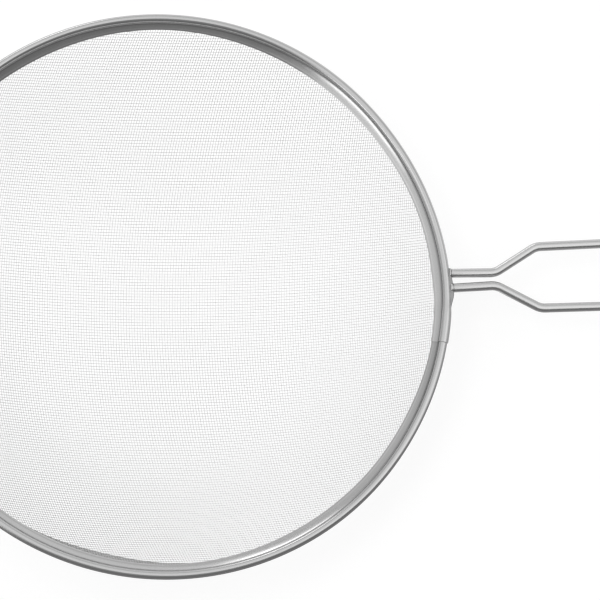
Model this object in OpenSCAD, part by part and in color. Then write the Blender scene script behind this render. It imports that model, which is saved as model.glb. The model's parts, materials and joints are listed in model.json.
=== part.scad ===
// Round kitchen sieve: a dished bowl of woven wire cloth, held in a folded steel rim,
// with a bent wire handle and a wire rest hook opposite it.
// Millimetres, +Z up. The sieve stands as it does on a table: on the foot of its bowl
// and on the end of its handle. The origin is the middle of the bowl's foot, and the
// handle runs along +X. The pieces are drawn level, about the rim's own axis and with
// the rim wire's centre at z = 0, and on_table() leans them over to their places.

/* [Rim] */
// Diameter over the rolled bead
rim_d = 260; // [200:1:320]
// Diameter of the round wire inside the bead
hoop_wire_d = 2.5; // [1.6:0.1:4]
// Thickness of the folded strip
strip_t = 0.4; // [0.3:0.05:0.6]
// Clearance between the strip and the wire inside it
hoop_clear = 0.12; // [0.08:0.01:0.2]
// Length of the two legs that clamp the cloth, from the hoop wire's centre
leg_len = 6.7; // [5:0.1:10]
// Slope of the legs, down towards the middle
leg_slope = 30; // [15:1:40]
// Width of the hem along each leg's inner edge
hem_w = 1.5; // [1:0.1:3]
// Gap between the legs, for the cloth
clamp_gap = 1.3; // [1.2:0.05:2]

/* [Rim seam] */
// Where the strip's end shows, in degrees from the handle
seam_at = -12.9; // [-60:0.1:-8]
// Length of the lap along the rim
lap_len = 12; // [8:1:20]

/* [Bowl] */
// Depth of the cloth below the legs' inner edge
bowl_depth = 48; // [30:1:70]
// Thickness of one wire of the net that stands for the cloth
net_wire = 0.9; // [0.6:0.05:1.2]
// Turn of the weave from the handle's line
weave_turn = -2.7; // [-45:0.1:45]
// Depth of the flat on the bowl's foot
foot_cut = 0.5; // [0.2:0.1:0.6]

/* [Handle] */
// Diameter of the handle wire
handle_wire_d = 4; // [3:0.1:5]
// Reach of the handle past the bead
handle_len = 200; // [150:1:260]
// Distance between the two wires' centres at the plate
neck_gap = 6.9; // [6:0.1:10]
// Length of the neck, from the plate to the first bend
neck_len = 18; // [10:0.5:30]
// Angle by which each wire of the neck runs inward
neck_close = 1.3; // [0:0.1:1.5]
// Angle at which the two wires part
spread = 30; // [20:1:45]
// Distance between the two wires' centres where the grip starts
grip_w = 28.8; // [22:0.2:40]
// Angle by which each wire of the grip still runs outward
grip_taper = 0.6; // [0:0.1:1.5]
// Bend radius of the handle wire at its centre
bend_r = 9; // [6:0.5:15]

/* [Handle plate] */
// How far the plate reaches past each wire's middle along the rim
plate_side = 2.4; // [2:0.1:4]
// Length of the tapered tail on the seam's side
plate_tail = 7.5; // [4:0.5:10]
// Height of the plate
plate_h = 2.8; // [2.2:0.1:3]
// Thickness of the plate outside the bead
plate_t = 1.2; // [0.8:0.1:2]
// Thickness of the tail at its end
tail_t = 0.3; // [0.2:0.05:0.5]
// Gap left for the weld between the plate and the bead
weld_gap = 0.05; // [0.02:0.01:0.1]

/* [Rest hook] */
// Diameter of the hook wire
hook_wire_d = 4; // [3:0.1:5]
// Width of the hook between its wires' centres
hook_w = 30; // [24:1:50]
// Reach of the hook past the bead
hook_len = 22; // [16:1:30]
// Corner radius of the hook at the wire's centre
hook_corner = 9; // [5:0.5:12]

/* [Welds] */
// Size of the weld bead round each wire's end
weld_leg = 0.9; // [0.5:0.1:1]
// Clearance between a weld bead and its wire
weld_clear = 0.02; // [0.01:0.01:0.05]

/* [Hidden] */
$fn = 72;

// Rim: the bead's outer radius, the hoop's radius and the cone of the cloth's edge
bead_r = hoop_wire_d / 2 + hoop_clear + strip_t;
hoop_r = rim_d / 2 - bead_r;
leg_top = clamp_gap / 2 + strip_t;
clamp_r = hoop_r - leg_len * cos(leg_slope);
clamp_z = -leg_len * sin(leg_slope);
lap_angle = lap_len / hoop_r * 180 / PI;
lap_run_out = lap_angle / 5;
lap_stagger = lap_angle / 10;

// Bowl: a sphere through the cloth's edge, with its centre above the rim
bowl_r = (clamp_r ^ 2 + bowl_depth ^ 2) / (2 * bowl_depth);
centre_z = clamp_z - bowl_depth + bowl_r;
foot_r = bowl_r + net_wire - foot_cut;

// Handle: where its end lies, and the lean that puts it on the table
handle_end = rim_d / 2 + handle_len - handle_wire_d / 2;
lean = asin((foot_r - handle_wire_d / 2) / norm([handle_end, centre_z]))
    - atan(centre_z / handle_end);
plate_x = rim_d / 2 + plate_t;
steel = "silver";
steel_dark = "gray";

// Sets what is drawn level on its foot and its handle's end
module on_table() {
    translate([0, 0, foot_r]) rotate([0, lean, 0]) translate([0, 0, -centre_z])
        children();
}

// The pipe that the rim's bead fills, a little larger: what meets the bead is cut to it
module bead_space(gap) {
    rotate_extrude($fn = 288) translate([hoop_r, 0]) circle(bead_r + gap);
}

// Woven bowl

// The wires' places, in pitches from the one over the foot
last_line = 8;
net_lines = [for (i = [-last_line : last_line]) i];
// The wires are this far apart: the first crossing that is left out, at the last line
// and 4 lines across, then falls 2.2 mm outside the legs' inner edge
net_pitch = (clamp_r + 2.2) / norm([last_line, 4]);
crossing_r = norm([last_line, 3.5]) * net_pitch;
wire_end_r = clamp_r + 1.3;

// A point of the cloth over (x, y), raised by h towards the inside of the bowl:
// on the bowl's sphere, or on the legs' cone past its edge
function on_cloth(x, y, h) =
    let (r = norm([x, y]))
    r <= clamp_r
        ? let (k = (bowl_r - h) / bowl_r, drop = sqrt(bowl_r ^ 2 - r ^ 2))
            [x * k, y * k, centre_z - drop * k]
        : let (k = 1 - h * sin(leg_slope) / r)
            [x * k, y * k, (r - hoop_r) * tan(leg_slope) + h * cos(leg_slope)];

function crosses(i, j) = norm([i, j]) * net_pitch < crossing_r;
// The wire that runs along X is on top at every other crossing
function x_on_top(i, j) = (i + j) % 2 == 0;

// The crossings are numbered in turn. Each has 12 points: its four corners at the
// bottom of the lower wire, between the two wires and at the top of the upper one.
crossings = [for (i = net_lines) for (j = net_lines) if (crosses(i, j)) [i, j]];
corner = [[-1, -1], [1, -1], [1, 1], [-1, 1]];
crossing_points = [
    for (c = crossings) for (level = [-1, 0, 1]) for (k = corner)
        on_cloth(
            c[0] * net_pitch + k[0] * net_wire / 2,
            c[1] * net_pitch + k[1] * net_wire / 2,
            level * net_wire
        )
];

// Each line holds the same wire both ways, so the ends are listed once per line:
// for a line at i, the ends of the X wire at y = i, then those of the Y wire at x = i.
// An end has 4 points, from its lower side to its upper one.
end_points = [
    for (along_x = [true, false]) for (i = net_lines) for (side = [-1, 1])
        let (reach = side * sqrt(wire_end_r ^ 2 - (i * net_pitch) ^ 2))
        for (k = corner)
            let (across = i * net_pitch + k[0] * net_wire / 2)
            along_x
                ? on_cloth(reach, across, k[1] * net_wire / 4)
                : on_cloth(across, reach, k[1] * net_wire / 4)
];

// The crossings on each line, as their numbers in turn
numbered = [for (n = [0 : len(crossings) - 1]) [crossings[n][0], crossings[n][1], n]];
function on_x_wire(j) = [for (c = numbered) if (c[1] == j) c[2]];
function on_y_wire(i) = [for (c = numbered) if (c[0] == i) c[2]];

// The point of crossing n at a level from 0 to 2 and a corner from 0 to 3
function at(n, level, k) = n * 12 + level * 4 + k;
// The lower level of the wire at crossing n: 1 where it is on top
function base(n, along_x) =
    x_on_top(crossings[n][0], crossings[n][1]) == along_x ? 1 : 0;

// The four points of a wire's section where it leaves crossing n, forward or back,
// in turn as seen by someone who looks along +X or +Y: lower right, lower left,
// upper left, upper right
function section(n, along_x, forward) =
    let (
        low = base(n, along_x),
        right = along_x ? (forward ? 1 : 0) : (forward ? 2 : 1),
        left = along_x ? (forward ? 2 : 3) : (forward ? 3 : 0)
    )
    [at(n, low, right), at(n, low, left), at(n, low + 1, left), at(n, low + 1, right)];

// The same for a wire's end. Along X the right-hand side has the smaller Y, and along
// Y the larger X.
function end_section(line, along_x, forward) =
    let (
        first = len(crossing_points)
            + 4 * ((along_x ? 0 : 2 * len(net_lines)) + 2 * line + (forward ? 1 : 0)),
        turn = along_x ? [0, 1, 2, 3] : [1, 0, 3, 2]
    )
    [for (k = turn) first + k];

// The four walls of a run of wire from one section to the next
function run_walls(a, b) =
    [for (k = [0 : 3]) let (m = (k + 1) % 4) each [[a[k], b[k], b[m]], [a[k], b[m], a[m]]]];
function cap(s) = [[s[0], s[1], s[2]], [s[0], s[2], s[3]]];
function reversed(faces) = [for (f = faces) [f[2], f[1], f[0]]];

// All runs of one wire with its two ends
function wire_faces(line, along_x) =
    let (
        ns = along_x ? on_x_wire(net_lines[line]) : on_y_wire(net_lines[line]),
        start = end_section(line, along_x, false),
        finish = end_section(line, along_x, true)
    )
    concat(
        reversed(cap(start)),
        run_walls(start, section(ns[0], along_x, false)),
        [
            for (k = [0 : len(ns) - 2]) each run_walls(
                section(ns[k], along_x, true), section(ns[k + 1], along_x, false)
            )
        ],
        run_walls(section(ns[len(ns) - 1], along_x, true), finish),
        cap(finish)
    );

// A crossing's own faces: its top, its bottom and the two free sides of each wire
function crossing_faces(n) =
    let (
        x_low = base(n, true),
        y_low = base(n, false),
        quads = [
            [at(n, 0, 0), at(n, 0, 1), at(n, 0, 2), at(n, 0, 3)],
            [at(n, 2, 3), at(n, 2, 2), at(n, 2, 1), at(n, 2, 0)],
            [at(n, x_low + 1, 0), at(n, x_low + 1, 1), at(n, x_low, 1), at(n, x_low, 0)],
            [at(n, x_low + 1, 2), at(n, x_low + 1, 3), at(n, x_low, 3), at(n, x_low, 2)],
            [at(n, y_low + 1, 1), at(n, y_low + 1, 2), at(n, y_low, 2), at(n, y_low, 1)],
            [at(n, y_low + 1, 3), at(n, y_low + 1, 0), at(n, y_low, 0), at(n, y_low, 3)]
        ]
    )
    [for (q = quads) each [[q[0], q[1], q[2]], [q[0], q[2], q[3]]]];

module woven_net() {
    polyhedron(
        points = concat(crossing_points, end_points),
        faces = concat(
            [for (n = [0 : len(crossings) - 1]) each crossing_faces(n)],
            [
                for (along_x = [true, false]) for (line = [0 : len(net_lines) - 1])
                    each wire_faces(line, along_x)
            ]
        )
    );
}

module mesh_bowl() {
    color(steel) difference() {
        on_table() rotate([0, 0, weave_turn]) woven_net();
        translate([0, 0, -bowl_r]) cube(2 * bowl_r, center = true);
    }
}

// Rim

// One leg of the folded strip with the hem on its inner edge, whose fold is pressed into
// a few flats
module leg(extra) {
    translate([0, clamp_gap / 2]) square([leg_len - strip_t, strip_t + extra]);
    translate([leg_len - hem_w, clamp_gap / 2])
        square([hem_w - strip_t, 2 * strip_t + extra]);
    translate([leg_len - strip_t, leg_top + extra]) circle(strip_t, $fn = 12);
}

// Section of the strip: rolled round the hoop wire, then two legs with the cloth
// between them. The lap's layers are larger by extra, and reach into the strip below
// them by sunk.
module channel_section(extra = 0, sunk = 0) {
    gap = clamp_gap + 2 * sunk;
    translate([hoop_r, 0]) rotate(180 + leg_slope) difference() {
        union() {
            circle(bead_r + extra);
            leg(extra);
            mirror([0, 1]) leg(extra);
        }
        circle(bead_r - strip_t + sunk);
        translate([0, -gap / 2]) square([2 * leg_len, gap]);
    }
}

// The lap ends in a full step where the seam shows, and runs out in two lower ones
module rim_channel() {
    color(steel) on_table() {
        rotate_extrude() channel_section();
        for (k = [0 : 2])
            rotate([0, 0, seam_at + k * lap_stagger])
                rotate_extrude(angle = lap_angle + k * (lap_run_out - lap_stagger))
                    channel_section(strip_t * (1 - k / 3), strip_t * (0.6 - k / 6));
    }
}

module hoop_wire() {
    color(steel_dark) on_table()
        rotate_extrude() translate([hoop_r, 0]) circle(d = hoop_wire_d);
}

// Bent wire

// A bend from the origin, where the wire points along +X, to the right
module bend(d, angle, radius) {
    translate([0, -radius, 0]) rotate([0, 0, 90 - angle])
        rotate_extrude(angle = angle) translate([radius, 0]) circle(d = d);
}

// A point of a wire's path is [x, y, heading]. This one lies a straight length ahead.
function ahead(p, length) = [p[0] + length * cos(p[2]), p[1] + length * sin(p[2]), p[2]];

// The points of a bend after p, to the left where the angle is positive
function bent(p, angle, radius, steps) = [
    for (k = [1 : steps])
        let (h = p[2] + angle * k / steps, r = sign(angle) * radius)
            [p[0] + r * (sin(h) - sin(p[2])), p[1] + r * (cos(p[2]) - cos(h)), h]
];

// A round wire along a path in the XY plane, with this many flat sides
wire_sides = 16;
module path_wire(d, path) {
    n = wire_sides;
    last = (len(path) - 1) * n;
    polyhedron(
        points = [
            for (p = path) for (k = [0 : n - 1])
                let (side = d / 2 * cos((k + 0.5) * 360 / n))
                    [p[0] - side * sin(p[2]), p[1] + side * cos(p[2]),
                        d / 2 * sin((k + 0.5) * 360 / n)]
        ],
        faces = concat(
            [[for (k = [0 : n - 1]) k], [for (k = [n - 1 : -1 : 0]) last + k]],
            [
                for (i = [0 : len(path) - 2]) for (k = [0 : n - 1])
                    let (m = (k + 1) % n, a = i * n, b = (i + 1) * n)
                        each [[a + k, b + k, b + m], [a + k, b + m, a + m]]
            ]
        )
    );
}

// Handle

// The grip's end is an arc that meets both wires, and the runs follow from the widths
grip_bend = spread - grip_taper;
neck_end = [
    plate_x + neck_len, neck_gap / 2 - (neck_len - weld_gap) * tan(neck_close), -neck_close
];
spread_rise = grip_w / 2 - neck_end[1]
    - bend_r * (cos(neck_close) + cos(grip_taper) - 2 * cos(spread));
spread_run = spread_rise / sin(spread);
grip_start = neck_end[0] + spread_run * cos(spread)
    + bend_r * (2 * sin(spread) + sin(neck_close) - sin(grip_taper));
end_r = (grip_w / 2 + (handle_end - grip_start) * tan(grip_taper))
    / ((1 + sin(grip_taper)) / cos(grip_taper));
grip_run = (handle_end - end_r * (1 + sin(grip_taper)) - grip_start) / cos(grip_taper);

grip_arc = 14;
neck_path = bent(neck_end, spread + neck_close, bend_r, 5);
grip_path = bent(ahead(neck_path[4], spread_run), -grip_bend, bend_r, 5);
half_path = concat(
    [[plate_x + weld_gap, neck_gap / 2, 0], neck_end],
    neck_path,
    [ahead(neck_path[4], spread_run)],
    grip_path,
    [ahead(grip_path[4], grip_run)],
    bent(ahead(grip_path[4], grip_run), -90 - grip_taper, end_r, grip_arc)
);

module handle_wire() {
    back = [
        for (k = [len(half_path) - 2 : -1 : 0])
            [half_path[k][0], -half_path[k][1], 180 - half_path[k][2]]
    ];
    color(steel) on_table() path_wire(handle_wire_d, concat(half_path, back));
}

// The plate is flat where the wires stand on it, tapers along the rim to its tail, and
// is cut to the bead that it is welded to
module handle_plate() {
    side = neck_gap / 2 + plate_side;
    tail = side + plate_tail;
    rim_at_tail = sqrt((rim_d / 2) ^ 2 - tail ^ 2);
    corner = 0.5;
    color(steel) on_table() difference() {
        linear_extrude(plate_h, center = true) polygon([
            [hoop_r - bead_r, side],
            [plate_x - corner, side],
            [plate_x, side - corner],
            [plate_x, -side],
            [rim_at_tail + tail_t, -tail],
            [hoop_r - bead_r, -tail]
        ]);
        bead_space(weld_gap);
        cylinder(r = hoop_r, h = 2 * plate_h, center = true, $fn = 288);
    }
}

// A weld bead round a wire that leaves the origin along +X
module weld_bead(d) {
    inner = d / 2 + weld_clear;
    rotate([0, 90, 0]) rotate_extrude() difference() {
        translate([inner, 0]) square(weld_leg);
        translate([inner + weld_leg, weld_leg]) circle(weld_leg * 0.98);
    }
}

module handle_welds() {
    color(steel_dark) on_table() for (side = [-1, 1])
        translate([plate_x + weld_clear, side * neck_gap / 2, 0]) weld_bead(handle_wire_d);
}

// Rest hook

hook_end = rim_d / 2 + hook_len - hook_wire_d / 2;
hook_root = hoop_r + 0.75 * bead_r;
hook_run = hook_end - hook_corner - hook_root;
hook_half = hook_w / 2 - hook_corner;

// The hook's wires are sunk a little into the bead where they are welded
module rest_hook() {
    color(steel) on_table() difference() {
        rotate([0, 0, 180]) {
            for (side = [0, 1]) mirror([0, side, 0])
                translate([hook_root, hook_w / 2, 0]) {
                    rotate([0, 90, 0]) cylinder(d = hook_wire_d, h = hook_run);
                    translate([hook_run, 0, 0]) bend(hook_wire_d, 90, hook_corner);
                }
            translate([hook_end, 0, 0]) rotate([90, 0, 0])
                cylinder(d = hook_wire_d, h = 2 * hook_half, center = true);
        }
        bead_space(weld_gap);
    }
}

// The welds lie beside the wires, no higher than the bead
module hook_welds() {
    color(steel_dark) on_table() difference() {
        intersection() {
            for (side = [-1, 1]) translate([-hook_root, side * hook_w / 2, 0])
                rotate([0, -90, 0]) difference() {
                    cylinder(r1 = hook_wire_d / 2 + weld_leg, r2 = hook_wire_d / 2,
                        h = weld_leg + bead_r / 4);
                    translate([0, 0, -1])
                        cylinder(r = hook_wire_d / 2 + weld_clear, h = 10);
                }
            cube([3 * rim_d, 3 * rim_d, 2 * bead_r], center = true);
        }
        bead_space(weld_clear);
    }
}

mesh_bowl();
rim_channel();
hoop_wire();
handle_wire();
handle_plate();
handle_welds();
rest_hook();
hook_welds();
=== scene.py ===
"""A round wire-mesh kitchen sieve, drawn on its frame. Metres, +Z up, handle along +X."""

import json
import math
from functools import partial

import bmesh
import bpy
from bpy.props import FloatProperty, IntProperty, PointerProperty, StringProperty
from bpy.types import Operator, Panel, PropertyGroup
from mathutils import Matrix, Vector, noise


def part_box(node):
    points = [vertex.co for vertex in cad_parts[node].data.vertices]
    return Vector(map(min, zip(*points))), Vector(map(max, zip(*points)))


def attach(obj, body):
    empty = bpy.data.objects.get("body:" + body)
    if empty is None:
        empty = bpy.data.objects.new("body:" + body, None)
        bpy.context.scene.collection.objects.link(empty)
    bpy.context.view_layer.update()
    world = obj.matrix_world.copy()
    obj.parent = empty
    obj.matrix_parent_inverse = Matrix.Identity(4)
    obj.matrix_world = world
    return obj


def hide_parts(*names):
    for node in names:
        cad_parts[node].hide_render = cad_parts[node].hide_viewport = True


bl_info = {
    "name": "Kitchen sieve",
    "version": (1, 0, 0),
    "blender": (4, 5, 0),
    "location": "View3D > Sidebar > Sieve",
    "description": "Draws a wire-mesh kitchen sieve on its frame, with its stage",
    "category": "Object",
}

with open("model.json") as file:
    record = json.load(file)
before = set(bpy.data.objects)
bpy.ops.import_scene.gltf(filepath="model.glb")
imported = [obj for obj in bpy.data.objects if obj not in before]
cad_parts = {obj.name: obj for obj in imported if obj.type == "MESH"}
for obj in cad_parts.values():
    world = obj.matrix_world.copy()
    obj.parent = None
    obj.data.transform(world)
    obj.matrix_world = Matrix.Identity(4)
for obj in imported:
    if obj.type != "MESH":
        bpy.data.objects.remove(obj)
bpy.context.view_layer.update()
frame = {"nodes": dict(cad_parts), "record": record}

MM = 0.001
# A length in metres that counts as nothing
NOTHING = 1e-6
# The settings of a map range that goes smoothly from one value to the other
SMOOTH = {"interpolation_type": "SMOOTHSTEP"}


# Sizes and colours that a user would change


def number(name, description, default, **kind):
    return FloatProperty(name=name, description=description, default=default, **kind)


def length(name, description, millimetres):
    """A length in metres, given in millimetres."""
    return number(name, description, millimetres * MM, unit="LENGTH", precision=5)


def angle(name, description, degrees):
    """An angle in radians, given in degrees."""
    return number(name, description, math.radians(degrees), subtype="ANGLE")


def colour(name, description, code):
    """A colour's sRGB hex code."""
    return StringProperty(name=name, description=description, default=code)


class SieveRim(PropertyGroup):
    """Sizes of the folded strip round the hoop wire."""

    bead: length("Bead radius", "Outer radius of the rolled bead", 1.95)
    bore: length("Bore radius", "Inner radius of the rolled bead", 1.37)
    hoop: length("Hoop radius", "Radius of the hoop wire's centre line", 128.23)
    strip: length("Strip", "Thickness of the strip", 0.4)
    gap: length("Gap", "Gap between the legs, filled by the cloth", 0.7)
    leg: length("Leg", "Mean length of the legs from the hoop's centre", 6.7)
    hem: length("Hem", "Width of the hem on each leg", 1.5)
    hem_rise: length("Hem rise", "How far the hem stands above the leg", 0.03)
    shoulder: length("Shoulder", "Width of the hem's sloping shoulder", 0.5)
    groove: length("Groove", "Radius of the bend between bead and leg", 0.8)
    slope: angle("Slope", "Slope of the legs, down towards the middle", 30)
    sweep: angle("Sweep", "How much steeper the legs are beside the bead", 10)
    seam: angle("Seam", "Where the strip's end shows, from the handle", -12.9)
    lap: length("Lap", "Length of the lap at full height", 12)
    run_out: length("Run-out", "Length over which the lap fades", 9)
    steps: IntProperty(name="Steps", description="Sections round the rim", default=720, min=90)


class SieveCloth(PropertyGroup):
    """Sizes of the woven cloth."""

    wire: length("Wire", "Diameter of the cloth's wire", 0.225)
    pitch_along: length("Pitch along", "Spacing of the wires across the handle", 1.27)
    pitch_across: length("Pitch across", "Spacing of the wires along the handle", 1.36)
    depth: length("Depth", "Depth of the bowl below the legs' edge", 48)
    edge: length("Edge", "How far the cloth reaches into the rim", 2.2)
    turn: angle("Turn", "Turn of the weave from the handle's line", -2.7)
    bow: number("Bow", "Bow of the wires across the handle, per metre", 1.2)
    drawing: number("Drawing", "How far it is drawn together, per metre squared", 2.8)
    sides: IntProperty(name="Sides", description="Sides of each wire", default=4, min=3)


class SieveHandle(PropertyGroup):
    """Sizes of the handle's bent wire and its plate."""

    wire: length("Wire", "Diameter of the handle's wire", 4.25)
    reach: length("Reach", "Reach of the handle past the bead", 200)
    neck_gap: length("Neck", "Distance between the wires' centres at the plate", 6.9)
    neck_run: length("Neck length", "Straight length from the plate", 18)
    neck_close: angle("Neck angle", "Angle by which each wire runs inward", 1.3)
    spread: angle("Spread", "Angle at which the wires part", 30)
    grip: length("Grip", "Distance between the wires' centres at the grip", 28.8)
    taper: angle("Taper", "Angle by which the grip's wires still part", 0.6)
    bend: length("Bend", "Radius of the bends at the wire's centre", 9)
    plate_side: length("Plate side", "Reach of the plate past each wire's middle", 2.4)
    plate_tail: length("Plate tail", "Length of its tapered tail", 7.5)
    plate_height: length("Plate height", "Height of the plate", 2.8)
    plate_thickness: length("Plate thickness", "Thickness outside the bead", 1.2)


class SieveHook(PropertyGroup):
    """Sizes of the rest hook opposite the handle."""

    wire: length("Wire", "Diameter of the hook's wire", 4)
    width: length("Width", "Distance between the wires' centres", 30)
    reach: length("Reach", "Reach past the bead", 22)
    corner: length("Corner", "Radius of the corners at the wire's centre", 9)


class SieveFinish(PropertyGroup):
    """Colours of the metal and the stage."""

    cloth: colour("Cloth", "Drawn stainless wire of the cloth", "#E9E9E9")
    strip: colour("Strip", "Rolled stainless strip", "#C6C6C6")
    # Painted shade in the groove beside the bead and on the lower leg's lip, with heat tint past
    # the seam
    shade_and_heat: colour("Crease", "The strip's metal where dirt and heat darken it", "#3A3A3A")
    wire: colour("Wire", "Drawn and polished stainless wire", "#CBCBCB")
    weld: colour("Weld", "Weld metal, dull and dark", "#585858")
    brushed: colour("Brushed weld", "Weld metal that was brushed clean", "#A6A6A6")
    core: colour("Core", "The hoop wire, hidden in the bead", "#A9A9A9")
    floor: colour("Floor", "Pale seamless paper", "#F4F4F4")
    shade: colour("Shade", "How strongly the paper shows shadows", "#949494")


class SieveStage(PropertyGroup):
    """Camera and lamp."""

    distance: length("Distance", "Camera's distance from the rim's middle", 1400)
    tilt_x: angle("Tilt towards the handle", "Camera's lean from straight up", 1.15)
    tilt_y: angle("Tilt to the near side", "Camera's lean from straight up", 11.27)
    aim_x: length("Aim along", "Aim point past the rim's middle", 60.55)
    aim_y: length("Aim across", "Aim point beside the rim's middle", -8.1)
    roll: angle("Roll", "Camera's turn about its line of sight", -3.78)
    focal: number("Focal length", "In widths of the image", 5.185)
    light: number("Light", "Share of the lamp's full strength", 1.0)


# Tools for meshes, nodes and materials


def rim_place():
    """From the level rim, with its hoop's middle at the origin, to where it leans."""
    low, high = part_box("hoop_wire")
    mounts = {mount["name"]: mount for mount in frame["record"]["mounts"]}
    up = Vector(mounts["hang_loop"]["axis"]).normalized()
    along = Vector((up.z, 0, -up.x))
    place = Matrix((along, up.cross(along), up)).transposed().to_4x4()
    place.translation = (low + high) / 2
    return place


def linear(code):
    """An sRGB hex code as linear RGBA."""
    parts = [int(code[k : k + 2], 16) / 255 for k in (1, 3, 5)]
    return [*(p / 12.92 if p <= 0.04045 else ((p + 0.055) / 1.055) ** 2.4 for p in parts), 1]


def add(tree, kind, inputs=(), **settings):
    """Adds a node with its settings. Its inputs are in their order or by name. Each is a
    value, the socket that feeds it, or the node whose first output does."""
    node = tree.nodes.new(kind)
    for name, value in settings.items():
        setattr(node, name, value)
    for key, value in inputs.items() if isinstance(inputs, dict) else enumerate(inputs):
        if isinstance(value, bpy.types.Node):
            value = value.outputs[0]
        if isinstance(value, bpy.types.NodeSocket):
            tree.links.new(value, node.inputs[key])
        else:
            node.inputs[key].default_value = value
    return node


def new_material(name):
    """An empty material and its node tree."""
    material = bpy.data.materials.new(name)
    material.use_nodes = True
    material.node_tree.nodes.clear()
    return material, material.node_tree


def colours():
    """The sieve's colours, as set."""
    return bpy.context.scene.sieve_finish


def new_object(name, data):
    """An object with this data, in the scene."""
    thing = bpy.data.objects.new(name, data)
    bpy.context.scene.collection.objects.link(thing)
    return thing


def mesh_object(name, vertices, faces, uvs=None, smooth_below=40):
    """A closed piece from rim coordinates, set in its place, smoothed where its faces
    meet at less than this many degrees, with its faces turned outwards.

    uvs holds one pair for each corner of each face.
    """
    mesh = bpy.data.meshes.new(name)
    mesh.from_pydata(vertices, [], faces)
    if uvs:
        layer = mesh.uv_layers.new(name="surface")
        layer.data.foreach_set("uv", [part for pair in uvs for part in pair])
    mesh.transform(rim_place())
    mesh.update()
    mesh.shade_smooth()
    mesh.set_sharp_from_angle(angle=math.radians(smooth_below))
    piece = new_object(name, mesh)
    work = bmesh.new()
    work.from_mesh(mesh)
    bmesh.ops.recalc_face_normals(work, faces=work.faces)
    work.to_mesh(mesh)
    work.free()
    return piece


def skin(rings, count, closed):
    """Faces between rings of this many points each. Where the piece is closed, the last
    ring joins the first."""
    faces = []
    for i in range(rings if closed else rings - 1):
        j = (i + 1) % rings
        for k in range(count):
            m = (k + 1) % count
            faces.append((i * count + k, j * count + k, j * count + m, i * count + m))
    return faces


def darken(piece, values):
    """Sets how dark the strip's metal is at each point, partly as painted shade."""
    dark = piece.data.attributes.new("shade_and_heat", "FLOAT", "POINT")
    dark.data.foreach_set("value", values)


def settle(piece, material, slot, *nodes):
    """Gives a finished piece its material and its body, and hides the nodes that it stands for.
    """
    piece.data.materials.clear()
    piece.data.materials.append(material)
    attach(piece, "root")
    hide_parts(*nodes)


# Metals


def speckle(tree, scale, detail):
    """A noise pattern that is the same in all directions."""
    coords = add(tree, "ShaderNodeTexCoord").outputs["Object"]
    inputs = {"Vector": coords, "Scale": scale, "Detail": detail}
    return add(tree, "ShaderNodeTexNoise", inputs)


def streaks(tree, stretch, detail, roughness=0.5):
    """A noise pattern with its own scale along the piece, across it and through it."""
    coords = add(tree, "ShaderNodeUVMap", uv_map="surface")
    place = add(tree, "ShaderNodeMapping", {"Vector": coords, "Scale": stretch})
    inputs = {"Vector": place, "Scale": 1, "Detail": detail, "Roughness": roughness}
    return add(tree, "ShaderNodeTexNoise", inputs)


def close_metal(tree, tone, rough, **normal):
    """Ends a metal's tree. The tone is a colour or the socket that gives it."""
    inputs = {"Base Color": tone, "Metallic": 1, "Roughness": rough} | normal
    metal = add(tree, "ShaderNodeBsdfPrincipled", inputs)
    add(tree, "ShaderNodeOutputMaterial", (metal,))


def cloth_metal():
    """Drawn stainless wire: small bright lines, a little softer where it was pressed."""
    material, tree = new_material("drawn stainless wire, woven")
    patches = speckle(tree, 30, 3)
    rough = add(tree, "ShaderNodeMapRange", {"Value": patches, "To Min": 0.24, "To Max": 0.4})
    close_metal(tree, linear(colours().cloth), rough)
    return material


def strip_metal():
    """Rolled stainless strip: faint lines along the strip from the rollers, with
    scattered short scuffs, so reflections are drawn out across the lines."""
    material, tree = new_material("rolled stainless strip")
    # The lines are about 0.15 mm apart and 20 mm long
    lines = streaks(tree, (50, 6500, 1), 4)
    scuffs = streaks(tree, (220, 420, 1), 5, 0.6)
    height = {"Height": lines, "Strength": 0.25, "Distance": 0.02 * MM}
    lined = add(tree, "ShaderNodeBump", height)
    height = {"Height": scuffs, "Strength": 0.15, "Distance": 0.08 * MM}
    dented = add(tree, "ShaderNodeBump", height | {"Normal": lined})
    # Painted shade darkens the groove beside the bead and the lower leg's lip, and heat darkened
    # the seam
    shade_and_heat = add(tree, "ShaderNodeAttribute", attribute_name="shade_and_heat").outputs["Fac"]
    tones = {0: shade_and_heat, 6: linear(colours().strip), 7: linear(colours().shade_and_heat)}
    tone = add(tree, "ShaderNodeMix", tones, data_type="RGBA").outputs[2]
    rough = add(tree, "ShaderNodeMapRange", {"Value": scuffs, "To Min": 0.13, "To Max": 0.27})
    close_metal(tree, tone, rough, Normal=dented)
    return material


def wire_metal():
    """Drawn and polished stainless wire: long clear reflections along the wire."""
    material, tree = new_material("drawn and polished stainless wire")
    lines = streaks(tree, (90, 4000, 1), 3)
    height = {"Height": lines, "Strength": 0.2, "Distance": 0.02 * MM}
    lined = add(tree, "ShaderNodeBump", height)
    rough = add(tree, "ShaderNodeMapRange", {"Value": lines, "To Min": 0.16, "To Max": 0.3})
    close_metal(tree, linear(colours().wire), rough, Normal=lined)
    return material


def weld_metal(name, tone):
    """Weld metal: dull, lumpy and darker than the wire."""
    material, tree = new_material(name)
    height = {"Height": speckle(tree, 900, 4), "Strength": 0.5, "Distance": 0.2 * MM}
    close_metal(tree, linear(tone), 0.5, Normal=add(tree, "ShaderNodeBump", height))
    return material


def core_metal():
    """Core wire with a faint spangle, which only chinks at the bead's ends would show."""
    material, tree = new_material("bright core wire")
    coords = add(tree, "ShaderNodeTexCoord").outputs["Object"]
    spangle = add(tree, "ShaderNodeTexVoronoi", {"Vector": coords, "Scale": 600})
    rough = add(tree, "ShaderNodeMapRange", {"Value": spangle, "To Min": 0.3, "To Max": 0.5})
    close_metal(tree, linear(colours().core), rough)
    return material


# Woven cloth


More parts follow.
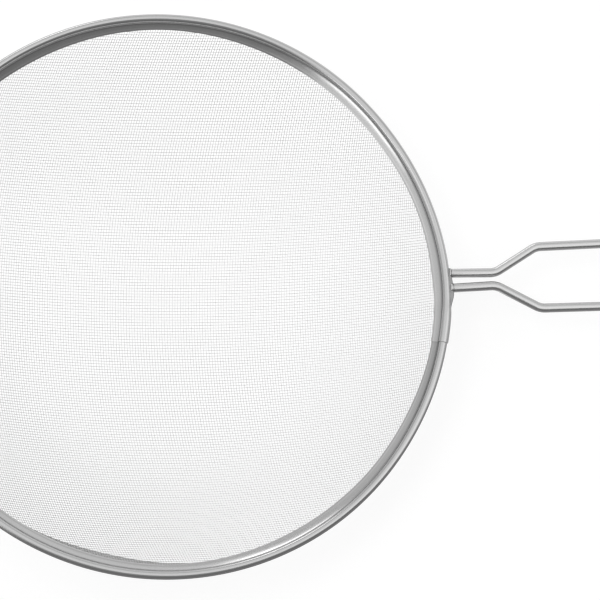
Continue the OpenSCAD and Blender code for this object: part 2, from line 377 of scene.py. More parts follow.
# What the weaving needs to know, by kind
WEAVING_INPUTS = {
    "NodeSocketInt": ("Wires", "Crossings", "Sides"),
    "NodeSocketVector": ("First wire", "Wire step", "First crossing", "Crossing step"),
    "NodeSocketFloat": (
        *("Pitch along", "Pitch across", "Lift", "Bow", "Drawing", "Turn", "Slope"),
        *("Bowl radius", "Centre height", "Clamp radius", "Cloth radius", "Wire radius"),
    ),
    "NodeSocketMaterial": ("Material",),
}
# Where the weaving puts a point that lies at X and Y in the flat cloth, along the handle
# and across it. Each sum has its name, its operation, and numbers or earlier names
WEAVING_SUMS = (
    # Over one wire and under the next
    ("wires along", "DIVIDE", "X", "Pitch along"),
    ("wires across", "DIVIDE", "Y", "Pitch across"),
    ("wires", "ADD", "wires along", "wires across"),
    ("phase", "MULTIPLY", "wires", math.pi),
    ("wave", "COSINE", "phase"),
    ("lift", "MULTIPLY", "wave", "Lift"),
    # The cloth was drawn together towards the rim, along the handle's line, and bowed
    ("X squared", "MULTIPLY", "X", "X"),
    ("X cubed", "MULTIPLY", "X", "X squared"),
    ("pull", "MULTIPLY", "X cubed", "Drawing"),
    ("drawn", "SUBTRACT", "X", "pull"),
    ("Y squared", "MULTIPLY", "Y", "Y"),
    ("bowed", "MULTIPLY", "Y squared", "Bow"),
    ("along", "ADD", "drawn", "bowed"),
    # Round the pole of the bowl: how far out, and in which direction
    ("along squared", "MULTIPLY", "along", "along"),
    ("sum of squares", "ADD", "along squared", "Y squared"),
    ("out squared", "MAXIMUM", "sum of squares", NOTHING**2),
    ("out", "SQRT", "out squared"),
    ("direction", "ARCTAN2", "Y", "along"),
    ("heading", "ADD", "direction", "Turn"),
    ("clamp sine", "DIVIDE", "Clamp radius", "Bowl radius"),
    ("clamp angle", "ARCSINE", "clamp sine"),
    ("polar angle", "DIVIDE", "out", "Bowl radius"),
    ("bowl angle", "MINIMUM", "polar angle", "clamp angle"),
    ("angle past", "SUBTRACT", "polar angle", "bowl angle"),
    ("past", "MULTIPLY", "angle past", "Bowl radius"),
    # The wires lie flat where the rim clamps them
    ("free", "LESS_THAN", "past", NOTHING),
    ("free lift", "MULTIPLY", "lift", "free"),
    ("radius", "SUBTRACT", "Bowl radius", "free lift"),
    # In plan, on the bowl and past it on the rim's cone
    ("bowl sine", "SINE", "bowl angle"),
    ("bowl reach", "MULTIPLY", "radius", "bowl sine"),
    ("slope cosine", "COSINE", "Slope"),
    ("cone reach", "MULTIPLY", "past", "slope cosine"),
    ("reach", "ADD", "bowl reach", "cone reach"),
    ("past edge", "GREATER_THAN", "reach", "Cloth radius"),
    ("heading cosine", "COSINE", "heading"),
    ("x", "MULTIPLY", "reach", "heading cosine"),
    ("heading sine", "SINE", "heading"),
    ("y", "MULTIPLY", "reach", "heading sine"),
    # And in height
    ("bowl cosine", "COSINE", "bowl angle"),
    ("below", "MULTIPLY", "radius", "bowl cosine"),
    ("bowl height", "SUBTRACT", "Centre height", "below"),
    ("slope sine", "SINE", "Slope"),
    ("cone rise", "MULTIPLY", "past", "slope sine"),
    ("z", "ADD", "bowl height", "cone rise"),
)


def weaving():
    """A tree that weaves one set of parallel wires over the bowl.

    It lays straight wires in the flat cloth, bows them, wraps them on the bowl's
    sphere and the rim's cone, and lifts them over and under the other set.
    """
    tree = bpy.data.node_groups.new("weaving", "GeometryNodeTree")
    for kind, names in WEAVING_INPUTS.items():
        for name in names:
            tree.interface.new_socket(name=name, in_out="INPUT", socket_type=kind)
    tree.interface.new_socket(name="Geometry", in_out="OUTPUT", socket_type="NodeSocketGeometry")
    node = partial(add, tree)
    given = node("NodeGroupInput").outputs

    rows = []
    for count, first, step in (
        ("Crossings", "First crossing", "Crossing step"),
        ("Wires", "First wire", "Wire step"),
    ):
        inputs = {"Count": given[count], "Start Location": given[first], "Offset": given[step]}
        rows.append(node("GeometryNodeMeshLine", inputs, mode="OFFSET"))
    one_wire, starts = rows
    one_curve = node("GeometryNodeMeshToCurve", {"Mesh": one_wire})
    laid = node("GeometryNodeInstanceOnPoints", {"Points": starts, "Instance": one_curve})
    flat = node("GeometryNodeRealizeInstances", {"Geometry": laid})

    place = node("GeometryNodeInputPosition")
    parts = node("ShaderNodeSeparateXYZ", (place,)).outputs
    known = {socket.name: socket for socket in (*given, *parts)}
    for name, operation, *terms in WEAVING_SUMS:
        inputs = [known[term] if isinstance(term, str) else term for term in terms]
        known[name] = node("ShaderNodeMath", inputs, operation=operation)
    wrapped = node("ShaderNodeCombineXYZ", [known[name] for name in "xyz"])
    past_edge = {"Geometry": flat, "Selection": known["past edge"]}
    trimmed = node("GeometryNodeDeleteGeometry", past_edge, domain="POINT")
    shaped = node("GeometryNodeSetPosition", {"Geometry": trimmed, "Position": wrapped})
    section = node(
        "GeometryNodeCurvePrimitiveCircle",
        {"Resolution": given["Sides"], "Radius": given["Wire radius"]},
    )
    wires = node(
        "GeometryNodeCurveToMesh", {"Curve": shaped, "Profile Curve": section, "Fill Caps": True}
    )
    smooth = node("GeometryNodeSetShadeSmooth", {"Geometry": wires, "Shade Smooth": True})
    real = node("GeometryNodeRealizeInstances", {"Geometry": smooth})
    finished = node("GeometryNodeSetMaterial", {"Geometry": real, "Material": given["Material"]})
    node("NodeGroupOutput", {"Geometry": finished})
    return tree


def woven(name, tree, inputs):
    """The plain mesh that the tree makes from these inputs, in its place."""
    holder = new_object(name, bpy.data.meshes.new(name))
    modifier = holder.modifiers.new("weaving", "NODES")
    modifier.node_group = tree
    sockets = {
        item.name: item.identifier
        for item in tree.interface.items_tree
        if item.item_type == "SOCKET" and item.in_out == "INPUT"
    }
    for key, value in inputs.items():
        modifier[sockets[key]] = value
    evaluated = holder.evaluated_get(bpy.context.evaluated_depsgraph_get())
    mesh = bpy.data.meshes.new_from_object(evaluated)
    holder.modifiers.remove(modifier)
    holder.data = mesh
    mesh.name = name
    mesh.transform(rim_place())
    return holder


class SIEVE_OT_cloth(Operator):
    """Weave the bowl's wire cloth"""

    bl_idname = "sieve.cloth"
    bl_label = "Wire cloth"

    def execute(self, context):
        cloth, rim = context.scene.sieve_cloth, context.scene.sieve_rim
        clamp = rim.hoop - rim.leg * math.cos(rim.slope)
        clamp_height = -rim.leg * math.sin(rim.slope)
        bowl = (clamp**2 + cloth.depth**2) / (2 * cloth.depth)
        least_faces = 1000
        # Bowing and drawing the cloth together take up some of its reach
        spare = 4 * cloth.edge + 24 * MM
        reach = bowl * math.asin(clamp / bowl) + spare
        half_along = int(reach / cloth.pitch_along)
        half_across = int(reach / cloth.pitch_across)
        material = cloth_metal()
        tree = weaving()
        common = {
            "Pitch along": cloth.pitch_along,
            "Pitch across": cloth.pitch_across,
            "Bow": cloth.bow,
            "Drawing": cloth.drawing,
            "Turn": cloth.turn,
            "Bowl radius": bowl,
            "Centre height": clamp_height - cloth.depth + bowl,
            "Clamp radius": clamp,
            "Slope": rim.slope,
            "Cloth radius": clamp + cloth.edge,
            "Wire radius": cloth.wire / 2,
            "Sides": cloth.sides,
            "Material": material,
        }
        step_along = Vector((cloth.pitch_along, 0, 0))
        step_across = Vector((0, cloth.pitch_across, 0))
        # Each set of wires is two pieces, one on each side
        sets = (
            ("cloth_along", step_across, half_across, step_along, half_along, 1),
            ("cloth_across", step_along, half_along, step_across, half_across, -1),
        )
        for name, wire_step, wires, crossing_step, crossings, over in sets:
            for side, first, count in (("far", -wires, wires), ("near", 0, wires + 1)):
                piece = woven(
                    f"{name}_{side}",
                    tree,
                    common
                    | {
                        "Wires": count,
                        "Crossings": 2 * crossings + 1,
                        "First wire": wire_step * first,
                        "Wire step": wire_step,
                        "First crossing": crossing_step * -crossings,
                        "Crossing step": crossing_step,
                        "Lift": over * cloth.wire / 2,
                    },
                )
                if len(piece.data.polygons) < least_faces:
                    raise RuntimeError(f"{piece.name} has hardly any wire")
                settle(piece, material, "wire_cloth", "mesh_bowl")
        return {"FINISHED"}


# Rim


def arc(centre, radius, start, end, steps):
    """Points on an arc, with both ends. Angles are in radians."""
    x, y = centre
    turns = [start + (end - start) * k / steps for k in range(steps + 1)]
    return [(x + radius * math.cos(turn), y + radius * math.sin(turn)) for turn in turns]


def rim_outline(rim):
    """The strip's section, as points (towards the middle along the leg, up from it).

    It runs from the lower hem round the bead's outside to the upper hem, then back
    between the legs and round the bore. Each point comes with the direction in which
    the lap lifts it, which has no length on the inside.
    """
    face = rim.gap / 2 + rim.strip
    groove_at = math.sqrt((rim.bead + rim.groove) ** 2 - (face + rim.groove) ** 2)
    meeting = math.atan2(face + rim.groove, groove_at)
    hem = rim.leg - rim.hem
    groove_steps, fold_steps = 8, 12
    bead = arc((0, 0), rim.bead, math.pi, meeting, 22)
    middle = (groove_at, face + rim.groove)
    groove = arc(middle, rim.groove, math.pi + meeting, 1.5 * math.pi, groove_steps)
    # The hem's fold is pressed almost flush, so it rises on a gentle shoulder
    flange = [(groove_at + (hem - groove_at) * k / 4, face) for k in (1, 2, 3)]
    flange += [
        (hem + t * rim.shoulder, face + rim.hem_rise * (0.5 - 0.5 * math.cos(math.pi * t)))
        for t in (0, 0.17, 0.33, 0.5, 0.67, 0.83, 1)
    ]
    tip = (rim.strip + rim.hem_rise) / 2
    middle = (rim.leg - tip, face + rim.hem_rise - tip)
    fold = arc(middle, tip, math.pi / 2, -math.pi / 2, fold_steps)
    upper = [(u, v, u / rim.bead, v / rim.bead) for u, v in bead]
    for k, (u, v) in enumerate(groove):
        share = 1 - k / groove_steps
        upper.append((u, v, share * math.cos(meeting), 1 - share * (1 - math.sin(meeting))))
    upper += [(u, v, 0, 1) for u, v in flange]
    for k, (u, v) in enumerate(fold):
        turn = math.pi * k / fold_steps
        upper.append((u, v, max(0, math.sin(turn)) * 0.6, max(0, math.cos(turn))))
    outer = [(u, -v, a, -b) for u, v, a, b in reversed(upper[1:])] + upper
    half_gap = face - rim.strip
    bore_at = math.asin(half_gap / rim.bore)
    bore = arc((0, 0), rim.bore, bore_at, 2 * math.pi - bore_at, 24)
    inside = [(rim.leg * 0.5, half_gap), *bore, (rim.leg * 0.5, -half_gap)]
    return outer + [(u, v, 0, 0) for u, v in inside]


def lap_height(rim, turn):
    """The share of a strip's thickness by which the lap stands proud at an angle."""
    rise = 0.15 * MM
    along = (turn - rim.seam) * rim.hoop
    if along < 0 or along > rim.lap + rim.run_out:
        return 0.0
    if along < rise:
        return along / rise
    fade = max(0.0, (along - rim.lap) / rim.run_out)
    return 0.5 + 0.5 * math.cos(math.pi * fade)


def bump(turn, middle, width):
    """A smooth bump of height 1 round the rim. Middle and width are in degrees."""
    away = (math.degrees(turn) - middle + 180) % 360 - 180
    return math.exp(-((away / width) ** 2))


# Bumps round the rim: height in millimetres, then middle and width in degrees. The hoop
# is pulled out at the handle's weld, and drawn in a little on both sides of it
HOOP_STRAY = ((0.6, -2, 13), (-0.4, 33, 14), (-0.24, -35, 12))
# The legs are longer or shorter, as the strip was rolled by eye
LEG_STRAY = (
    (-0.5, 0, math.inf),
    (0.4, 2, 5),
    (0.65, -60, 18),
    (0.2, 117, 20),
    (-0.7, -14, 11),
    (-0.3, 20, 10),
    (-0.9, 88, 20),
    (-0.5, -93, 12),
)
# The lower leg reaches further, where the strip was folded askew
LIP_STRAY = ((3.8, -105, 17),)


def stray(turn, bumps):
    """How far the rim strays from its plain shape at an angle."""
    return MM * sum(height * bump(turn, middle, width) for height, middle, width in bumps)


def shade_and_heat_at(rim, turn, u, v):
    """How dark a point of the strip is: painted shade in the groove beside the bead, the heat
    of the spot welds past the seam, and painted shade on the lip of the lower leg."""
    # No painted shade in the groove at the lower right, and half as much at the upper right
    upper = bump(turn, 42, 14)
    clean = max(bump(turn, -71, 19), 0.5 * upper)
    painted_shade = 0.5 * (1 - clean) + 0.1 * bump(turn, -25, 10)
    middle = (0.92 - 0.15 * upper) * rim.bead
    width = 0.7 * MM
    beside = painted_shade * math.exp(-(((u - middle) / width) ** 2)) if v > 0 else 0.0
    past = math.degrees(rim.seam - turn)
    heat = 0.22 * math.exp(-((past / 15) ** 2)) if past > 0 and u > rim.bead else 0.0
    # Painted shade on the lower leg's lip
    lip = 0.25 if v < 0 and u > 0.6 * rim.leg else 0.0
    return min(1.0, beside + heat + lip)


def rim_angles(rim):
    """Angles round the rim from half a turn back, closer together at the seam."""
    plain = [2 * math.pi * k / rim.steps - math.pi for k in range(rim.steps)]
    kept = [turn for turn in plain if abs(turn - rim.seam) > 0.25 * MM / rim.hoop]
    beside_seam = (-0.05, 0, 0.04, 0.08, 0.12, 0.16)
    return sorted(kept + [rim.seam + along * MM / rim.hoop for along in beside_seam])


class SIEVE_OT_rim(Operator):
    """Roll the rim's strip round its hoop, with its lapped seam"""

    bl_idname = "sieve.rim"
    bl_label = "Rim strip"

    def execute(self, context):
        rim = context.scene.sieve_rim
        outline = rim_outline(rim)
        distance = [0.0]
        for here, there in zip(outline, outline[1:] + outline[:1]):
            distance.append(distance[-1] + math.dist(here[:2], there[:2]))
        turns = rim_angles(rim)
        span = rim.leg - rim.bead
        wave_height = 0.06 * MM
        vertices, shade_and_heat_values = [], []
        inward = (-math.cos(rim.slope), -math.sin(rim.slope))
        upward = (-math.sin(rim.slope), math.cos(rim.slope))
        for turn in turns:
            proud = lap_height(rim, turn) * rim.strip
            hoop = rim.hoop + stray(turn, HOOP_STRAY)
            longer = stray(turn, LEG_STRAY)
            askew = stray(turn, LIP_STRAY)
            wave = wave_height * noise.noise(Vector((math.cos(turn), math.sin(turn), 0)) * 9)
            for u, v, lift_u, lift_v in outline:
                share = max(0.0, (u - rim.bead) / span)
                # The legs are steeper beside the bead than at the hem
                sweep = rim.sweep * span / 3 * (1 - (1 - min(share, 1)) ** 3)
                lip = askew * share if v < 0 else 0.0
                a = u + lift_u * proud + share * longer + lip
                b = v + lift_v * proud + wave * share - sweep - 0.3 * lip * share
                radius = hoop + a * inward[0] + b * upward[0]
                rise = a * inward[1] + b * upward[1]
                vertices.append((radius * math.cos(turn), radius * math.sin(turn), rise))
                # Painted shade in the groove and on the lower lip, and heat tint past the seam
                shade_and_heat_values.append(shade_and_heat_at(rim, turn, u, v))
        uvs = []
        for turn, after in zip(turns, turns[1:] + [turns[0] + 2 * math.pi]):
            start, end = turn * rim.hoop, after * rim.hoop
            for low, high in zip(distance, distance[1:]):
                uvs += [(start, low), (end, low), (end, high), (start, high)]
        faces = skin(len(turns), len(outline), closed=True)
        piece = mesh_object("rim_strip", vertices, faces, uvs)
        darken(piece, shade_and_heat_values)
        settle(piece, strip_metal(), "rim_steel", "rim_channel")
        return {"FINISHED"}


class SIEVE_OT_core(Operator):
    """Finish the hoop wire inside the bead, which the frame already holds"""

    bl_idname = "sieve.core"
    bl_label = "Hoop wire"

    def execute(self, context):
        hoop = frame["nodes"]["hoop_wire"]
        hoop.data.materials.clear()
        hoop.data.materials.append(core_metal())
        return {"FINISHED"}


# Bent wire


def ahead(point, run):
    """The point (x, y, heading) a straight run further."""
    x, y, heading = point
    return (x + run * math.cos(heading), y + run * math.sin(heading), heading)


def bent(point, turn, radius, steps):
    """Points of a bend, to the left where the turn is positive."""
    x, y, heading = point
    signed = math.copysign(radius, turn)
    middle_x, middle_y = x - signed * math.sin(heading), y + signed * math.cos(heading)
    headings = [heading + turn * k / steps for k in range(1, steps + 1)]
    return [
        (middle_x + signed * math.sin(new), middle_y - signed * math.cos(new), new)
        for new in headings
    ]


def both_sides(half):
    """The whole path of a wire whose two halves mirror each other in y."""
    return half + [(x, -y, math.pi - heading) for x, y, heading in reversed(half[:-1])]


def round_wire(name, path, radius, facing=1):
    """A round wire along a path in the rim's plane, with closed, rounded ends.

    facing is -1 for a wire on the side opposite the handle.
    """
    sides, end_steps = 28, 3
    round_off = radius * 0.25
    ends = []
    for point, way in ((path[0], -1), (path[-1], 1)):
        shrunk = []
        for k in range(end_steps + 1):
            turn = math.pi / 2 * k / end_steps
            moved = ahead(point, way * round_off * (math.sin(turn) - 1))
            shrunk.append((moved, radius - round_off * (1 - math.cos(turn))))
        ends.append(shrunk)
    body = [(point, radius) for point in path[1:-1]]
    sections = [*reversed(ends[0]), *body, *ends[1]]
    vertices, run = [], [0.0]
    for n, ((x, y, heading), size) in enumerate(sections):
        if n:
            run.append(run[-1] + math.dist((x, y), sections[n - 1][0][:2]))
        for k in range(sides):
            turn = 2 * math.pi * k / sides
            side = size * math.cos(turn)
            across, along = side * math.cos(heading), side * math.sin(heading)
            vertices.append((facing * (x - along), facing * (y + across), size * math.sin(turn)))
    uvs = []
    for start, end in zip(run, run[1:]):
        for k in range(sides):
            low, high = (2 * math.pi * radius * edge / sides for edge in (k, k + 1))
            uvs += [(start, low), (end, low), (end, high), (start, high)]
    uvs += [(run[0], 0)] * sides + [(run[-1], 0)] * sides
    faces = skin(len(sections), sides, closed=False)
    faces += [tuple(range(sides)), tuple(range(len(vertices) - sides, len(vertices)))[::-1]]
    return mesh_object(name, vertices, faces, uvs)


def handle_path(handle, rim_radius):
    """Half of the handle's wire, from the plate to the closed end's middle."""
    sunk = 0.9 * MM
    sine, cosine = math.sin(handle.taper), math.cos(handle.taper)
    root = rim_radius + handle.plate_thickness
    end = rim_radius + handle.reach - handle.wire / 2
    closing_in = handle.neck_run * math.tan(handle.neck_close)
    start = ahead((root, handle.neck_gap / 2, -handle.neck_close), -sunk)
    neck = (root + handle.neck_run, handle.neck_gap / 2 - closing_in, -handle.neck_close)
    first = bent(neck, handle.spread + handle.neck_close, handle.bend, 14)
    rise = (
        handle.grip / 2
        - neck[1]
        - handle.bend * (math.cos(handle.neck_close) - math.cos(handle.spread))
        - handle.bend * (cosine - math.cos(handle.spread))
    )
    parted = ahead(first[-1], rise / math.sin(handle.spread))
    second = bent(parted, handle.taper - handle.spread, handle.bend, 14)
    grip = second[-1]
    # The closed end is one bend, which starts where it leaves room for its own radius
    half_width = handle.grip / 2 + (end - grip[0]) * math.tan(handle.taper)
    closing = half_width / ((1 + sine) / cosine)
    straight = (end - closing * (1 + sine) - grip[0]) / cosine
    # The straight grip is cut up a little so that its lines stay even
    cuts = 6
    grip_points = [ahead(grip, straight * k / cuts) for k in range(1, cuts + 1)]
    last = bent(grip_points[-1], -math.pi / 2 - handle.taper, closing, 40)
    return [start, neck, *first, parted, *second, *grip_points, *last]


class SIEVE_OT_handle(Operator):
    """Bend the handle from one wire"""

    bl_idname = "sieve.handle"
    bl_label = "Handle wire"

    def execute(self, context):
        handle, rim = context.scene.sieve_handle, context.scene.sieve_rim
        half = handle_path(handle, rim.hoop + rim.bead)
        if abs(half[-1][1]) > NOTHING:
            raise RuntimeError("the handle's two halves don't meet")
        piece = round_wire("handle", both_sides(half), handle.wire / 2)
        settle(piece, wire_metal(), "wire_steel", "handle_wire")
        return {"FINISHED"}


class SIEVE_OT_hook(Operator):
    """Bend the rest hook opposite the handle"""

    bl_idname = "sieve.hook"
    bl_label = "Rest hook"

    def execute(self, context):
        hook, rim = context.scene.sieve_hook, context.scene.sieve_rim
        root = rim.hoop + 0.8 * rim.bead
        end = rim.hoop + rim.bead + hook.reach - hook.wire / 2
        start = (root, hook.width / 2, 0.0)
        side = ahead(start, end - hook.corner - root)
        corner = bent(side, -math.pi / 2, hook.corner, 20)
        middle = ahead(corner[-1], hook.width / 2 - hook.corner)
        path = both_sides([start, side, *corner, middle])
        piece = round_wire("rest_hook_wire", path, hook.wire / 2, facing=-1)
        settle(piece, wire_metal(), "wire_steel", "rest_hook")
        return {"FINISHED"}


# Plate and welds


def plate_face(handle, rim, y):
    """The bead's outer side and the plate's outer face beside it, at a place along y.
    The plate is a wedge, thicker towards its tail."""
    bead = rim.hoop + rim.bead + stray(y / rim.hoop, HOOP_STRAY)
    bare = math.sqrt(bead**2 - y**2)
    side = handle.neck_gap / 2 + handle.plate_side
    share = min(1.0, (side - y) / (2 * side))
    return bare, bare + handle.plate_thickness * (0.35 + 0.75 * share)


class SIEVE_OT_plate(Operator):
    """Cut the small plate between the rim and the handle's wires"""

    bl_idname = "sieve.plate"
    bl_label = "Handle plate"

    def execute(self, context):
        handle, rim = context.scene.sieve_handle, context.scene.sieve_rim
        side = handle.neck_gap / 2 + handle.plate_side
        half = handle.plate_height / 2
        far_round, edge_round, tail_end = 0.8 * MM, 0.45 * MM, 0.1 * MM
        sections = 60
        vertices = []
        for n in range(sections + 1):
            # From the far end to the tail, with close steps at both ends
            share = 0.5 - 0.5 * math.cos(math.pi * n / sections)
            y = side - (2 * side + handle.plate_tail) * share
            far_end = min(1.0, (side - y) / far_round)
            rounded = math.sqrt(1 - (1 - far_end) ** 2)
            tail = max(0.0, (-side - y) / handle.plate_tail)
            taper = 0.5 + 0.5 * math.cos(math.pi * tail)
            bare, outer = plate_face(handle, rim, y)
            outer = bare + (outer - bare) * taper * rounded + tail_end * (1 - taper)
            inner = bare - 0.7 * rim.bead
            corner = min(edge_round, 0.45 * (outer - inner))
            height = half * (0.45 + 0.55 * rounded) * (0.7 + 0.3 * taper)
            ring = arc((outer - corner, height - corner), corner, 0, math.pi / 2, 5)
            ring = [(inner, -height), *[(x, -z) for x, z in ring[::-1]], *ring, (inner, height)]
            vertices += [(x, y, z) for x, z in ring]
        count = len(ring)
        faces = [tuple(range(count)), tuple(reversed(range(sections * count, len(vertices))))]
        faces += skin(sections + 1, count, closed=False)
        corners = [vertices[v] for face in faces for v in face]
        uvs = [(y, z + x) for x, y, z in corners]
        piece = mesh_object("plate", vertices, faces, uvs)
        # The whole plate is darker
        darken(piece, [0.55] * len(vertices))
        settle(piece, strip_metal(), "rim_steel", "handle_plate")
        return {"FINISHED"}


def weld_ring(name, root, y, wire, size, facing, seed):
    """A lumpy ring of weld metal round the root of a wire."""
    around, across = 40, 9
    lumpiness, grain, stretch = 0.35, 1.6, 1.2
    sunk, overlap = 0.1 * MM, 0.05 * MM
    vertices = []
    for i in range(around):
        turn = 2 * math.pi * i / around
        side, up = math.cos(turn), math.sin(turn)
        for k in range(across):
            rise = math.pi / 2 * k / (across - 1)
            spot = Vector((side * grain + seed, up * grain, rise))
            lump = 1 + lumpiness * noise.noise(spot)
            x = root + size * lump * math.sin(rise) * stretch - sunk
            out = wire / 2 - overlap + size * lump * math.cos(rise)
            vertices.append((facing * x, y + out * side, out * up))
        within = wire / 2 - sunk
        vertices.append((facing * (root - sunk), y + within * side, within * up))
    return mesh_object(name, vertices, skin(around, across + 1, closed=True), smooth_below=70)


class SIEVE_OT_welds(Operator):
    """Lay the weld beads at the roots of the handle and the rest hook"""

    bl_idname = "sieve.welds"
    bl_label = "Welds"

    def execute(self, context):
        handle, rim = context.scene.sieve_handle, context.scene.sieve_rim
        hook = context.scene.sieve_hook
        dark = weld_metal("weld metal", colours().weld)
        clean = weld_metal("brushed weld metal", colours().brushed)
        bead = rim.hoop + rim.bead
        for side, word in ((-1, "right"), (1, "left")):
            y = side * handle.neck_gap / 2
            piece = weld_ring(
                f"handle_weld_{word}",
                root=plate_face(handle, rim, y)[1],
                y=y,
                wire=handle.wire,
                size=0.2 * MM,
                facing=1,
                seed=3.1 * side,
            )
            settle(piece, dark, "weld_steel", "handle_welds")
            piece = weld_ring(
                f"hook_weld_{word}",
                root=bead - 0.55 * MM,
                y=side * hook.width / 2,
                wire=hook.wire,
                size=0.7 * MM,
                facing=-1,
                seed=5.3 * side,
            )
            settle(piece, clean, "weld_steel", "hook_welds")
        return {"FINISHED"}


# Stage


def rectangle(name, sides, z, material):
    """A level rectangle of the stage. Its sides are the least and most x, then y."""
    left, right, near, far = sides
    corners = [(left, near, z), (right, near, z), (right, far, z), (left, far, z)]
    mesh = bpy.data.meshes.new(name)
    mesh.from_pydata(corners, [], [(0, 1, 2, 3)])
    mesh.materials.append(material)
    thing = new_object(name, mesh)
    return thing


def paper():
    """Matt white paper. To the camera it is a little lighter, so that it is white where
    nothing shades it and keeps a faint shadow, with painted light behind the cloth. To the
    metal it glows, with a painted dark reflection on the near side."""
    material, tree = new_material("seamless paper")
    node = partial(add, tree)
    lit = node("ShaderNodeBsdfDiffuse", {"Color": linear(colours().floor)})
    faint = node("ShaderNodeBsdfDiffuse", {"Color": linear(colours().shade)})
    place = node("ShaderNodeNewGeometry").outputs["Position"]
    # Behind the cloth, as the camera sees it, the paper glows more: painted light that lifts the
    # cloth's shadow
    cloth_middle, cloth_radius, blur = (-0.0248, 0.0106, 0), 0.13, 0.003
    behind_cloth, open_paper = 0.85, 0.765
    away = node("ShaderNodeVectorMath", (place, cloth_middle), operation="DISTANCE").outputs[1]
    edges = (cloth_radius - blur, cloth_radius + blur)
    camera_glow = node("ShaderNodeMapRange", (away, *edges, behind_cloth, open_paper), **SMOOTH)
    glow = node("ShaderNodeEmission", {"Strength": camera_glow})
    shown = node("ShaderNodeAddShader", (faint, glow))
    # To the metal the paper glows, with a painted dark reflection on the near side, past the
    # sieve
    bright, darkening = 0.95, 0.65
    sieve_edge, near_side = (0.118, 0.128), (-0.1, 0.08)
    out = node("ShaderNodeVectorMath", (place,), operation="LENGTH").outputs[1]
    across = node("ShaderNodeSeparateXYZ", (place,)).outputs["Y"]
    past = node("ShaderNodeMapRange", (out, *sieve_edge, 0.0, darkening), **SMOOTH)
    near = node("ShaderNodeMapRange", (across, *near_side, 1.0, 0.0), **SMOOTH)
    dark = node("ShaderNodeMath", (past, near), operation="MULTIPLY")
    left = node("ShaderNodeMath", (bright, dark), operation="SUBTRACT")
    painted_reflection = node("ShaderNodeEmission", {"Strength": left})
    path = node("ShaderNodeLightPath").outputs
    lit_or_mirrored = node("ShaderNodeMixShader", (path["Is Glossy Ray"], lit, painted_reflection))
    seen = node("ShaderNodeMixShader", (path["Is Camera Ray"], lit_or_mirrored, shown))
    node("ShaderNodeOutputMaterial", (seen,))
    return material


def card():
    """A white card above the handle, which only the metal sees."""
    material, tree = new_material("white card")
    node = partial(add, tree)
    # Slanting rays, such as the rim's, pass it by
    slanting, upright, brightness = 0.5, 0.65, 1.2
    way = node("ShaderNodeNewGeometry").outputs["Incoming"]
    rise = node("ShaderNodeSeparateXYZ", (way,)).outputs["Z"]
    steep = node("ShaderNodeMath", (rise,), operation="ABSOLUTE")
    share = node("ShaderNodeMapRange", (steep, slanting, upright, 0.0, 1.0), **SMOOTH)
    clear = node("ShaderNodeBsdfTransparent")
    glow = node("ShaderNodeEmission", {"Strength": brightness})
    seen = node("ShaderNodeMixShader", (share, clear, glow))
    node("ShaderNodeOutputMaterial", (seen,))
    material.cycles.emission_sampling = "NONE"
    sides, height = (0.128, 0.36, -0.18, 0.0), 0.225
    thing = rectangle("card", sides, height, material)
    for ray in ("camera", "diffuse", "transmission", "volume_scatter", "shadow"):
        setattr(thing, "visible_" + ray, False)


def lamp(name, size, power, place, aim):
    """A soft square lamp that faces its aim, and that the metal doesn't see."""
    light = bpy.data.lights.new(name, "AREA")
    light.size = size
    light.energy = power * bpy.context.scene.sieve_stage.light
    thing = new_object(name, light)
    thing.location = place
    thing.rotation_euler = (Vector(aim) - Vector(place)).to_track_quat("-Z", "Y").to_euler()
    thing.visible_glossy = False


# Bright panels in the room, which show as streaks on the rim: azimuth, half its width,
# height above the horizon, half its height, all in degrees, and added brightness
PANELS = (
    (216, 15, 38, 5, 2.2),
    (102, 10, 9, 6, 2.4),
    (78, 30, 8, 10, 0.35),
    (2, 24, 48, 22, 0.45),
    (188, 15, 73, 12, 0.75),
)


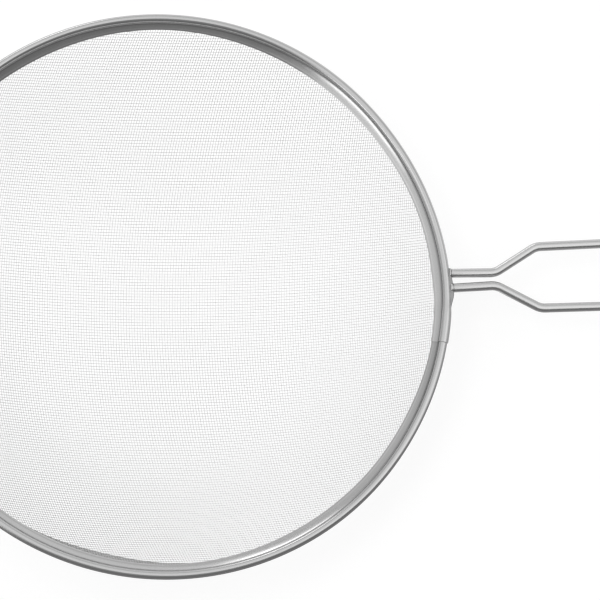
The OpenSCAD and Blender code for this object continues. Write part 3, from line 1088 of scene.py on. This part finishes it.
def surroundings():
    """A pale room: white to the camera, and for the metal light on all sides but the
    near one, with bright panels."""
    world = bpy.data.worlds.new("room")
    bpy.context.scene.world = world
    world.use_nodes = True
    world.node_tree.nodes.clear()
    node = partial(add, world.node_tree)
    way = node("ShaderNodeTexCoord").outputs["Generated"]
    x, y, z = node("ShaderNodeSeparateXYZ", (way,)).outputs

    # Dark towards the near side and its right, and lighter from the horizon up
    turned = node("ShaderNodeMath", (x, -0.7), operation="MULTIPLY")
    left = node("ShaderNodeMath", (turned, 0.0), operation="MAXIMUM")
    far = node("ShaderNodeMath", (y, left), operation="ADD")
    by_side = node("ShaderNodeMapRange", (far, -0.44, -0.2, 0.3, 0.88), **SMOOTH)
    by_height = node("ShaderNodeMapRange", (z, 0.35, 0.95, 0.88, 1.38), **SMOOTH)
    level = node("ShaderNodeMath", (by_side, by_height), operation="MULTIPLY")
    azimuth = node("ShaderNodeMath", (y, x), operation="ARCTAN2")
    height = node("ShaderNodeMath", (z,), operation="ARCSINE")
    # A panel's edge fades from 0.7 to 1.3 times its half width and half height
    fade = (0.7, 1.3)
    for middle, half, rise, half_rise, brightness in PANELS:
        turned = node("ShaderNodeMath", (azimuth, math.radians(middle)), operation="SUBTRACT")
        around = node("ShaderNodeMath", (turned, math.pi, -math.pi), operation="WRAP")
        aside = node("ShaderNodeMath", (around,), operation="ABSOLUTE")
        risen = node("ShaderNodeMath", (height, math.radians(rise)), operation="SUBTRACT")
        above = node("ShaderNodeMath", (risen,), operation="ABSOLUTE")
        wide = (share * math.radians(half) for share in fade)
        tall = (share * math.radians(half_rise) for share in fade)
        across = node("ShaderNodeMapRange", (aside, *wide, brightness, 0.0), **SMOOTH)
        upright = node("ShaderNodeMapRange", (above, *tall, 1.0, 0.0), **SMOOTH)
        panel = node("ShaderNodeMath", (across, upright), operation="MULTIPLY")
        level = node("ShaderNodeMath", (level, panel), operation="ADD")
    room = node("ShaderNodeBackground", {"Strength": level})
    white = node("ShaderNodeBackground", {"Strength": 1.0})
    to_camera = node("ShaderNodeLightPath").outputs["Is Camera Ray"]
    seen = node("ShaderNodeMixShader", (to_camera, room, white))
    node("ShaderNodeOutputWorld", (seen,))


class SIEVE_OT_stage(Operator):
    """Set the paper, the lamp, the card, the room and the camera"""

    bl_idname = "sieve.stage"
    bl_label = "Stage"

    def execute(self, context):
        stage = context.scene.sieve_stage
        middle = rim_place().translation
        rectangle("paper", (-4.0, 4.0, -4.0, 4.0), 0, paper())
        lamp("window", size=0.7, power=4.2, place=(-0.38, 0.06, 1.87), aim=middle)
        card()
        surroundings()

        lean = Vector((math.sin(stage.tilt_x), -math.sin(stage.tilt_y), 0))
        lean.z = math.sqrt(1 - lean.length_squared)
        aim = middle + Vector((stage.aim_x, stage.aim_y, 0))
        right = (-lean).cross(Vector((0, 1, 0))).normalized()
        up = right.cross(-lean)
        turned_right = right * math.cos(stage.roll) + up * math.sin(stage.roll)
        turned_up = up * math.cos(stage.roll) - right * math.sin(stage.roll)
        place = Matrix((turned_right, turned_up, lean)).transposed().to_4x4()
        place.translation = aim + lean * stage.distance
        camera = bpy.data.cameras.new("camera")
        camera.sensor_width = camera.sensor_height = 36
        camera.lens = camera.sensor_width * stage.focal
        camera.clip_end = 20
        view = new_object("camera", camera)
        view.matrix_world = place
        context.scene.camera = view
        context.scene.view_settings.view_transform = "Standard"
        # The photo is as sharp as its pixels
        context.scene.cycles.filter_width = 1.35
        return {"FINISHED"}


class SIEVE_PT_sieve(Panel):
    """The sieve's pieces, sizes and stage."""

    bl_label = "Sieve"
    bl_idname = "SIEVE_PT_sieve"
    bl_space_type = "VIEW_3D"
    bl_region_type = "UI"
    bl_category = "Sieve"

    def draw(self, context):
        for operator, settings in STEPS:
            box = self.layout.box()
            box.operator(operator)
            group = getattr(context.scene, settings)
            for name in group.__annotations__:
                box.prop(group, name)


# Each step's operator and the group of its sizes
STEPS = (
    ("sieve.cloth", "sieve_cloth"),
    ("sieve.rim", "sieve_rim"),
    ("sieve.core", "sieve_rim"),
    ("sieve.handle", "sieve_handle"),
    ("sieve.plate", "sieve_handle"),
    ("sieve.hook", "sieve_hook"),
    ("sieve.welds", "sieve_finish"),
    ("sieve.stage", "sieve_stage"),
)
GROUPS = {
    "sieve_rim": SieveRim,
    "sieve_cloth": SieveCloth,
    "sieve_handle": SieveHandle,
    "sieve_hook": SieveHook,
    "sieve_finish": SieveFinish,
    "sieve_stage": SieveStage,
}
CLASSES = (
    *GROUPS.values(),
    SIEVE_OT_cloth,
    SIEVE_OT_rim,
    SIEVE_OT_core,
    SIEVE_OT_handle,
    SIEVE_OT_plate,
    SIEVE_OT_hook,
    SIEVE_OT_welds,
    SIEVE_OT_stage,
    SIEVE_PT_sieve,
)


def register():
    for cls in CLASSES:
        bpy.utils.register_class(cls)
    for name, group in GROUPS.items():
        setattr(bpy.types.Scene, name, PointerProperty(type=group))


def unregister():
    for name in GROUPS:
        delattr(bpy.types.Scene, name)
    for cls in reversed(CLASSES):
        bpy.utils.unregister_class(cls)


def main():
    register()
    for operator, _ in STEPS:
        section, name = operator.split(".")
        getattr(getattr(bpy.ops, section), name)()


if __name__ == "__main__":
    main()
